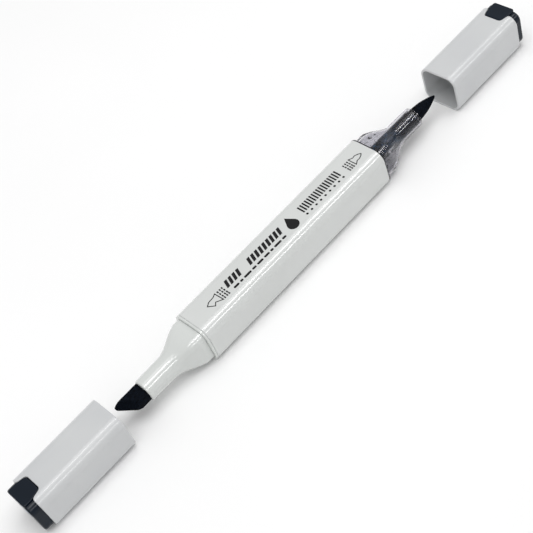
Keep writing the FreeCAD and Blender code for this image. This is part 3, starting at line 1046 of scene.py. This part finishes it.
def make_cap_marks(body, end, length, up):
    """Three dots over two bars on a plug's end face. They stand for its printed colour name."""
    mirror = -end["way"]
    outlines = [circle(across, 3.0 * up, 0.85) for across in (-2.6, 0.0, 2.6)]
    outlines += [bar(0, 0.4 * up, 6.2, 0.95, 0.4), bar(0, -1.7 * up, 4.4, 0.95, 0.4)]
    form = Form()
    for outline in outlines:
        form.add_rings([[(x, mirror * across, high) for across, high in outline]
                        for x in (length - INTO, length + INK)])
    form.put(end)
    finish_piece(form.build(body + "_marks"), looks["mark"], body, "mark_ink")


def make_cap(body, end, up):
    low, high = span(body + "_insert")
    length = max(abs(low.x - end["start"]), abs(high.x - end["start"]))
    make_cap_shell(body, end, length, looks["cap"])
    make_cap_insert(body, end, length)
    make_cap_marks(body, end, length, up)


def dress_inner_nodes():
    """CAD nodes that keep their own shape take a better material."""
    dressed = {"chisel_cap_liner": "liner", "brush_cap_liner": "liner",
               "reservoir_core": "fibre", "reservoir_film": "film"}
    for node, look in dressed.items():
        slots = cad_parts[node].material_slots
        for slot in slots:
            slot.material = looks[look]


make_barrel()
make_chisel_nose()
make_brush_nose()
make_grip_ribs()
make_socket()
make_ink_stains()
make_chisel_nib()
make_brush_nib()
make_cap("chisel_cap", CHISEL_CAP, 1)
make_cap("brush_cap", BRUSH_CAP, -1)
make_print()
dress_inner_nodes()


# ---------------------------------------------------------------- stage, light and camera

def aim(thing, place, back, up):
    """Puts a light or camera at a place. back points away from what it looks at."""
    back = back.normalized()
    right = up.cross(back).normalized()
    true_up = back.cross(right)
    rows = [[right[i], true_up[i], back[i], place[i]] for i in range(3)] + [[0, 0, 0, 1]]
    thing.matrix_world = Matrix(rows)


def make_floor():
    size = 4.0
    mesh = bpy.data.meshes.new("floor")
    mesh.from_pydata([(-size, -size, 0), (size, -size, 0), (size, size, 0), (-size, size, 0)],
                     [], [(0, 1, 2, 3)])
    floor = bpy.data.objects.new("floor", mesh)
    bpy.context.scene.collection.objects.link(floor)
    g = Graph("floor_paint")
    tone = g.noise(0.01, 2.0)
    g.set(Base_Color=g.ramp(tone, (0.3, (0.93, 0.93, 0.93)), (0.7, (0.95, 0.95, 0.95))),
          Roughness=0.85, Specular_IOR_Level=0.1)
    mesh.materials.append(g.material)
    floor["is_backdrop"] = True


# The marker is seen from above its plain side, a little from the chisel end, and rolled
LEAN = -0.32
HEIGHT = math.radians(52)
ROLL = math.radians(45.5)
DISTANCE = 0.375
SENSOR = 36.0
SIDE = math.sqrt(1 - LEAN ** 2)
VIEW_BACK = Vector((LEAN, -SIDE * math.cos(HEIGHT), SIDE * math.sin(HEIGHT)))
MIDDLE = Vector((0, 0, AXIS_Z * MM))


def soft_box(name, back, distance, width, length, power, only_gloss=False):
    """Rectangular light whose long side runs along the marker."""
    data = bpy.data.lights.new(name, "AREA")
    data.shape = "RECTANGLE"
    data.size = length
    data.size_y = width
    data.energy = power
    light = bpy.data.objects.new(name, data)
    bpy.context.scene.collection.objects.link(light)
    back = back.normalized()
    aim(light, MIDDLE + back * distance, back, back.cross(Vector((1, 0, 0))))
    light.visible_diffuse = not only_gloss


def mirrored(lean_out):
    """Direction that the camera sees reflected in the corner at an angle from the top."""
    normal = Vector((0, -math.sin(lean_out), math.cos(lean_out)))
    return 2 * normal.dot(VIEW_BACK) * normal - VIEW_BACK


def make_lights():
    """Soft light from all round and above, and two strips that draw lines on the corners."""
    world = bpy.data.worlds.new("studio")
    world.use_nodes = True
    background = world.node_tree.nodes["Background"]
    background.inputs["Color"].default_value = (1, 1, 1, 1)
    background.inputs["Strength"].default_value = 0.66
    bpy.context.scene.world = world
    soft_box("key", Vector((0.1, -0.08, 1.0)), 0.9, 0.7, 1.0, 4.4)
    strip_width, strip_length, strip_power = 0.07, 1.3, 3.4
    for name, lean_out in (("strip_high", 24), ("strip_low", 42.5)):
        back = mirrored(math.radians(lean_out))
        back.x = 0.18
        soft_box(name, back, 0.7, strip_width, strip_length, strip_power, only_gloss=True)


def make_camera():
    """Camera in the photograph's direction, turned so that both caps are in view."""
    low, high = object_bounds()
    place = MIDDLE + VIEW_BACK * DISTANCE
    ends = [Vector((x, 0, AXIS_Z * MM)) - place for x in (low[0], high[0])]
    sight = (ends[0].normalized() + ends[1].normalized()).normalized()
    back = -sight
    along = (Vector((1, 0, 0)) - back * back.x).normalized()
    across = back.cross(along)
    half_angle = ends[0].angle(ends[1]) / 2
    usable = 0.455 * math.sqrt(2)                  # half the marker, as a share of the frame
    data = bpy.data.cameras.new("camera")
    data.sensor_width = SENSOR
    data.lens = usable * SENSOR / math.tan(half_angle)
    data.clip_start = 0.01
    camera = bpy.data.objects.new("camera", data)
    bpy.context.scene.collection.objects.link(camera)
    aim(camera, place, back, math.sin(ROLL) * along + math.cos(ROLL) * across)
    bpy.context.scene.camera = camera


make_floor()
make_lights()
make_camera()
bpy.context.scene.view_settings.view_transform = "Standard"
